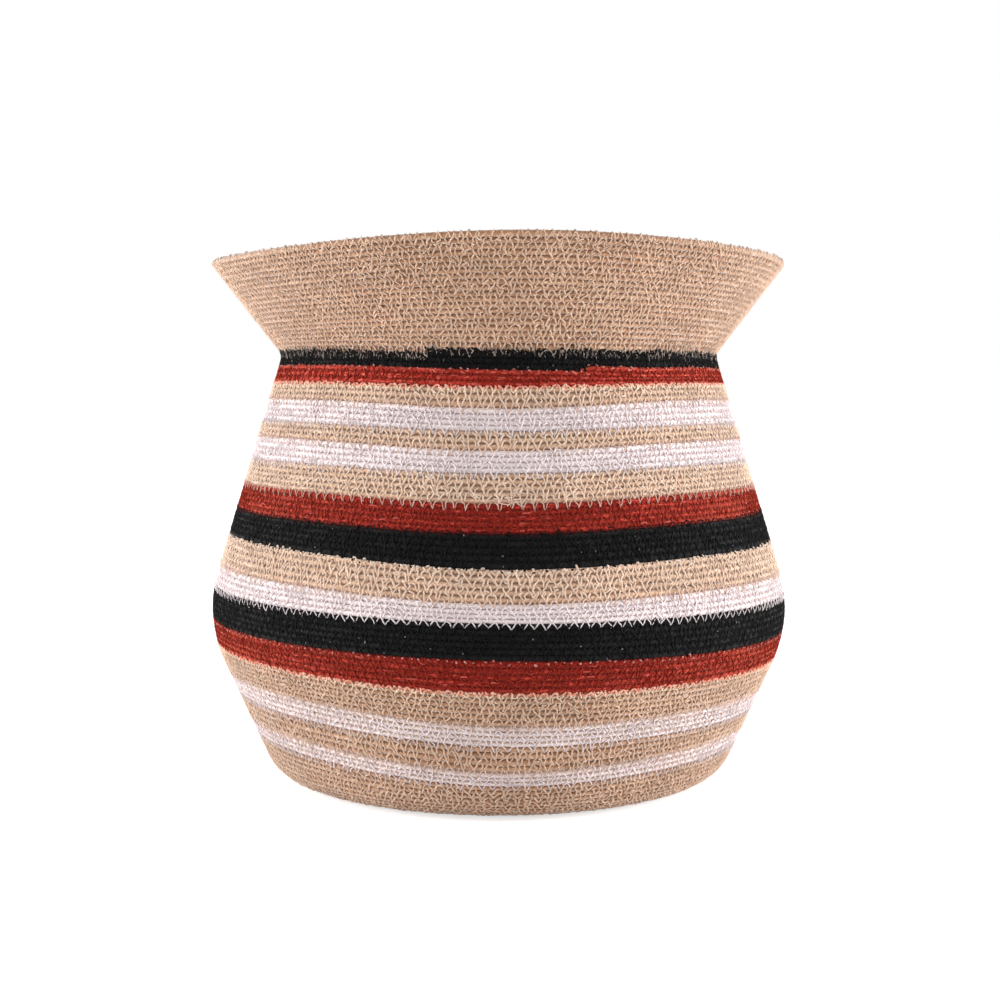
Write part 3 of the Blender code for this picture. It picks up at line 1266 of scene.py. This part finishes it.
@dataclass
class Band:
    """One colour band of the wall: its length of cord and its sewing threads, outside and inside.

    The coil changes colour at the back, or where late_start is not nought, that share of a turn
    later. The joining seams sew the band's first turn to the band below it. Where there are none,
    the band's own thread does so with its usual seam.
    """

    name: str
    cord: Cord
    thread: Thread
    turns: int
    joining: tuple[Seam, ...] = ()
    late_start: float = 0.0
    strays_per_metre: float = 70.0
    strands: tuple[Strands, ...] = ()
    inside_seam: Seam = Seam(high_hole=0.72, hole_jitter=0.13, leg=INSIDE_LEG)
    edge_seam: Seam = Seam(high_hole=0.10, hole_jitter=0.09, stitch_length=0.0034, leg=EDGE_LEG)
    edge_turns: float = 0.98

    def build(self, maker: Maker, wall: Wall, first: float, last: float, seed: int) -> None:
        """Build the band's pieces.

        Args:
            maker: What makes them.
            wall: The wall they are wound on.
            first: The turn at which the cord starts.
            last: The turn at which it ends.
            seed: The seed of its small irregularities.
        """
        thread = self.thread
        sewn_from = first + 1 if self.joining else first
        strays = Strands("", None, self.strays_per_metre)
        sources = {
            "cord_turns": CordTurns(wall, first, last, seed, self.cord),
            "thread_outside": Stitching(wall, sewn_from, last, seed + 100, thread, strands=strays),
            "thread_inside": Stitching(
                wall, first, last, seed + 101, thread, self.inside_seam, inside=True
            ),
        }
        for number, seam in enumerate(self.joining, start=1):
            sources[f"joining_thread_{number}"] = Stitching(
                wall, first, sewn_from, seed + 200 + number, seam.thread or thread, seam
            )
        for number, strands in enumerate(self.strands, start=1):
            start = first + strands.start
            end = last if strands.turns is None else start + strands.turns
            sources[strands.label] = LooseStrands(
                wall, start, end, seed + 400 + number, strands.thread, strands=strands
            )
        if last == wall.turns:
            sources["edge_thread"] = EdgeStitching(
                wall, last, last + self.edge_turns, seed + 300, thread, self.edge_seam
            )
        for label, source in sources.items():
            maker.piece(f"{self.name}_{label}", source, self.name + "_cord")


@dataclass
class Base:
    """The base: one flat coil of natural cord, sewn like the wall."""

    first_turn: float = -36.4
    first_sewn: float = -34.5
    steps_per_turn: int = 72
    seed: int = 7

    def build(self, maker: Maker, wall: Wall) -> None:
        """Build the base's pieces.

        Args:
            maker: What makes them.
            wall: The wall they are wound on.
        """
        sewn = (wall, self.first_sewn, 0)
        seam = Seam(leg=INSIDE_LEG)
        sources = {
            "cord_turns": CordTurns(
                wall, self.first_turn, 0, self.seed, Cord.TAN, self.steps_per_turn
            ),
            "thread_outside": Stitching(*sewn, self.seed + 100, Thread.TAN),
            "thread_inside": Stitching(*sewn, self.seed + 101, Thread.TAN, seam, inside=True),
        }
        for label, source in sources.items():
            maker.piece("base_" + label, source, "base_coil")


DYE_STAINED = (Seam(-0.95, 0.12, 0.06, thread=Thread.STAINED),)
NATURAL_TO_BLACK = (Seam(-0.95, -0.20, 0.03, neatness=0.8, thread=Thread.NATURAL),)
WHITE_ON_BLACK = (Seam(-1.02, 0.40, 0.09, neatness=0.6, thread=Thread.WHITE_FINE, leg=OPEN_LEG),)
WHITE_ON_NATURAL = (Seam(-1.02, 0.50, 0.14, neatness=0.3, thread=Thread.WHITE_FINE),)
NATURAL_ON_WHITE = (Seam(-0.85, 0.50, 0.14, neatness=0.3, thread=Thread.NATURAL_FINE),)
NATURAL_ON_RED = (
    Seam(-1.20, 0.40, 0.12, neatness=0.5, thread=Thread.NATURAL_DYED, leg=NARROW_LEG),
)
RED_ON_BLACK = (Seam(-0.52, 0.40, 0.12, thread=Thread.DARK_RED),)
RED_TO_BLACK = (Seam(-0.90, 0.0, 0.08, thread=Thread.RED),)
BLACK_TO_NECK_RED = (Seam(-0.22, 0.72, 0.08, thread=Thread.BLACK),)
FRAYED_NECK = (
    Seam(-0.50, 0.72, 0.24, thread=Thread.WORN),
    Seam(-0.50, 0.24, 0.20, 0.0027, thread=Thread.BLACK_FRAY_AND_GAP_SHADE),
)
STAINED_TIPS = Strands(
    "stained_tips", Thread.STAINED_TIPS, 370.0, 0.0019, 0.10, (-0.24, 0.0), 1, 0.3
)
NATURAL_TIPS = Strands(
    "natural_tips", Thread.NATURAL_TIPS, 204.0, 0.0016, 0.05, (-0.18, -0.10), 1, 0.5
)
# Painted shade: short dark strands in the gaps between stitch tips at the top of the natural row
# below the black band.
PAINTED_GAP_SHADE = Strands("painted_gap_shade", Thread.BLACK_FRAY_AND_GAP_SHADE, 204.0, 0.0021, 0.04, (-0.34, -0.20), 1, 0.0)
PALE_TIPS = Strands("pale_tips", Thread.PALE_TIPS, 260.0, 0.0014, 0.10, (-0.30, -0.10), 1, 0.5)
LOOSE_ENDS = Strands(
    "loose_ends", Thread.NATURAL_FINE, 620.0, 0.0066, 0.20, (0.05, 0.85), 0.020, start=0.4840
)
BLACK_HAIRS = Strands("black_hairs", Thread.BLACK_HAIR, 1000.0, 0.0010, 0.42, (-0.15, 0.35), 1)
PALE_HAIRS = Strands("pale_hairs", Thread.PALE_HAIR, 800.0, 0.0010, 0.40, (-0.60, 0.0), 1)
START_HAIRS = Strands("start_hairs", Thread.BLACK_HAIR, 2800.0, 0.0010, 0.40, (-0.05, 0.55), 0.17)
# Painted glints: short bright red strands along the red cord.
RED_GLINT_STRANDS = Strands("painted_glint_strands", Thread.RED_GLINT_STRANDS, 34.0, 0.0050, 0.05, (0.30, 0.80))
BELLY_LINT = Strands("lint", Thread.LINT, 12.0, 0.0007, 0.12)
SHOULDER_LINT = Strands("lint", Thread.LINT, 9.0, 0.0007, 0.12)
NECK_LINT = Strands("lint", Thread.LINT, 30.0, 0.0009, 0.12)

TAN = (Cord.TAN, Thread.TAN)
NATURAL = (Cord.NATURAL, Thread.NATURAL)
FOOT_WHITE = (Cord.FOOT_WHITE, Thread.WHITE)
PALE = (Cord.WHITE, Thread.WHITE)
RED = (Cord.RED, Thread.RED)
BLACK = (Cord.BLACK, Thread.BLACK)


@dataclass
class Basket:
    """The whole basket: the base and the bands of the wall, from the floor up."""

    bands: tuple[Band, ...] = (
        Band("foot_natural", *TAN, 12),
        Band("foot_white", *FOOT_WHITE, 3, WHITE_ON_NATURAL),
        Band("lower_natural", *TAN, 4, NATURAL_ON_WHITE),
        Band("lower_white", *FOOT_WHITE, 4, WHITE_ON_NATURAL),
        Band("belly_lower_natural", *TAN, 6, NATURAL_ON_WHITE),
        Band(
            "belly_red", *RED, 5, DYE_STAINED,
            strays_per_metre=0.0, strands=(STAINED_TIPS, RED_GLINT_STRANDS),
        ),
        Band("belly_black", *BLACK, 6, RED_TO_BLACK, strands=(PALE_TIPS, BELLY_LINT)),
        Band("belly_white", *PALE, 4, WHITE_ON_BLACK),
        Band("belly_upper_natural", *NATURAL, 5, NATURAL_ON_WHITE),
        Band(
            "shoulder_black", *BLACK, 5, NATURAL_TO_BLACK,
            strands=(NATURAL_TIPS, PAINTED_GAP_SHADE, SHOULDER_LINT),
        ),
        Band("shoulder_red", *RED, 5, RED_ON_BLACK, strays_per_metre=0.0, strands=(RED_GLINT_STRANDS,)),
        Band("shoulder_natural", *NATURAL, 5, NATURAL_ON_RED, strands=(LOOSE_ENDS,)),
        Band("upper_white", *PALE, 4, WHITE_ON_NATURAL),
        Band("upper_natural", *NATURAL, 3, NATURAL_ON_WHITE),
        Band("neck_white", *PALE, 4, WHITE_ON_NATURAL),
        Band("neck_natural", *NATURAL, 3, NATURAL_ON_WHITE),
        Band(
            "neck_red", Cord.NECK_RED, Thread.RED, 3, DYE_STAINED,
            strays_per_metre=0.0, strands=(STAINED_TIPS, RED_GLINT_STRANDS),
        ),
        Band(
            "neck_black", *BLACK, 3, BLACK_TO_NECK_RED, late_start=0.444,
            strands=(PALE_TIPS, NECK_LINT),
        ),
        Band(
            "rim_natural", *TAN, 20, FRAYED_NECK, late_start=-0.453,
            strands=(BLACK_HAIRS, PALE_HAIRS, START_HAIRS),
        ),
    )

    def build(self) -> None:
        """Build every piece of the basket."""
        body_turns = sum(band.turns for band in self.bands[:-1])
        wall = Wall(body_turns, self.bands[-1].turns)
        maker = Maker()
        Base().build(maker, wall)
        turn = 0
        late_ends = [band.late_start for band in self.bands[1:]] + [0.0]
        for number, (band, late_end) in enumerate(zip(self.bands, late_ends), start=1):
            first_turn = turn + band.late_start
            turn += band.turns
            band.build(maker, wall, first_turn, turn + late_end, 1000 * number)


# The studio


@dataclass(frozen=True)
class Lamp:
    """One soft square lamp that points at the basket."""

    name: str
    place: Place
    size: float
    power: float
    aim: Place = (0.0, 0.0, 0.12)

    def build(self) -> None:
        """Build the lamp."""
        lamp = bpy.data.lights.new(self.name, "AREA")
        lamp.shape = "SQUARE"
        lamp.size = self.size
        lamp.energy = self.power
        made = bpy.data.objects.new(self.name, lamp)
        made.location = self.place
        way = Vector(self.aim) - Vector(self.place)
        made.rotation_euler = way.to_track_quat("-Z", "Y").to_euler()
        made.visible_camera = False
        bpy.context.scene.collection.objects.link(made)


@dataclass
class Studio:
    """A white sweep, soft lights on both sides and the camera at the photograph's angle."""

    floor_radius: float = 6.0
    floor_height: float = -0.0002
    floor_corners: int = 64
    floor_colour: Place = (0.88, 0.88, 0.88)
    floor_glow: float = 0.64
    floor_shine: float = 0.1
    least_roughness: float = 0.85
    roughness_spread: float = 0.1
    grains_per_metre: float = 900.0
    world_light: float = 0.695
    sensor: float = 36.0
    lens: float = 57.6
    camera_place: Place = (0.0006, -0.8125, 0.1883)
    camera_drop: float = math.radians(3.65)
    lamps: tuple[Lamp, ...] = (
        Lamp("left_softbox", (-1.25, -0.12, 0.20), 0.62, 16.6),
        Lamp("right_softbox", (1.25, -0.12, 0.20), 0.62, 18.2),
        Lamp("top_softbox", (0.0, -0.5, 1.6), 1.2, 5.0),
    )

    def build(self) -> None:
        """Build the floor, the lights and the camera."""
        self.build_floor()
        self.build_world()
        for lamp in self.lamps:
            lamp.build()
        self.build_camera()

    def build_floor(self) -> None:
        """Build the floor, which shows white to the camera and still takes the basket's shadow."""
        corners = range(self.floor_corners)
        turns = [corner / self.floor_corners * FULL_TURN for corner in corners]
        reach = self.floor_radius
        points = [
            (reach * math.cos(turn), reach * math.sin(turn), self.floor_height) for turn in turns
        ]
        mesh = bpy.data.meshes.new("floor")
        mesh.from_pydata(points, [], [list(corners)])
        material = bpy.data.materials.new("floor_paper")
        tree = Tree(material)
        place = tree.node("ShaderNodeTexCoord", output="Object")
        grain = tree.noise(place, self.grains_per_metre, 2.0)
        paper = tree.node("ShaderNodeBsdfPrincipled", {}, {
            "Base Color": (*self.floor_colour, 1.0),
            "Roughness": grain * self.roughness_spread + self.least_roughness,
            "Specular IOR Level": self.floor_shine,
        })
        shining = {"Color": linear(WHITE), "Strength": self.floor_glow}
        glow = tree.node("ShaderNodeEmission", {}, shining)
        lit = tree.node("ShaderNodeAddShader", {}, {0: paper, 1: glow})
        seen = self.seen_directly(tree)
        tree.finish(tree.node("ShaderNodeMixShader", {}, {0: seen, 1: paper, 2: lit}))
        mesh.materials.append(material)
        floor = bpy.data.objects.new("floor", mesh)
        bpy.context.scene.collection.objects.link(floor)

    def seen_directly(self, tree: Tree) -> Wire:
        """Find the rays that come from the camera, by reflection or through glass.

        Args:
            tree: The node tree to add the nodes to.

        Returns:
            A wire that is 1 for those rays, and else 0.
        """
        kinds = ("Is Camera Ray", "Is Glossy Ray", "Is Transmission Ray")
        camera, glossy, through = (
            tree.node("ShaderNodeLightPath", output=kind) for kind in kinds
        )
        settings = {"operation": "ADD", "use_clamp": True}
        return tree.node("ShaderNodeMath", settings, {0: camera + glossy, 1: through})

    def build_world(self) -> None:
        """Build a white world that lights softly and shows pure white."""
        world = bpy.data.worlds.new("white_studio")
        bpy.context.scene.world = world
        tree = Tree(world)
        strength = self.seen_directly(tree) * (1.0 - self.world_light) + self.world_light
        light = {"Color": linear(WHITE), "Strength": strength}
        tree.finish(tree.node("ShaderNodeBackground", {}, light), "World")

    def build_camera(self) -> None:
        """Build the camera."""
        lens = bpy.data.cameras.new("photo_camera")
        lens.sensor_width = self.sensor
        lens.lens = self.lens
        camera = bpy.data.objects.new("photo_camera", lens)
        camera.location = self.camera_place
        camera.rotation_euler = (math.pi / 2 - self.camera_drop, 0.0, 0.0)
        bpy.context.scene.collection.objects.link(camera)
        bpy.context.scene.camera = camera
        bpy.context.scene.view_settings.view_transform = "Standard"


def main() -> None:
    """Load the frame, and build the basket and the studio."""
    logging.basicConfig(level=logging.INFO, format="%(message)s")
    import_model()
    Basket().build()
    Studio().build()


if __name__ == "__main__":
    main()
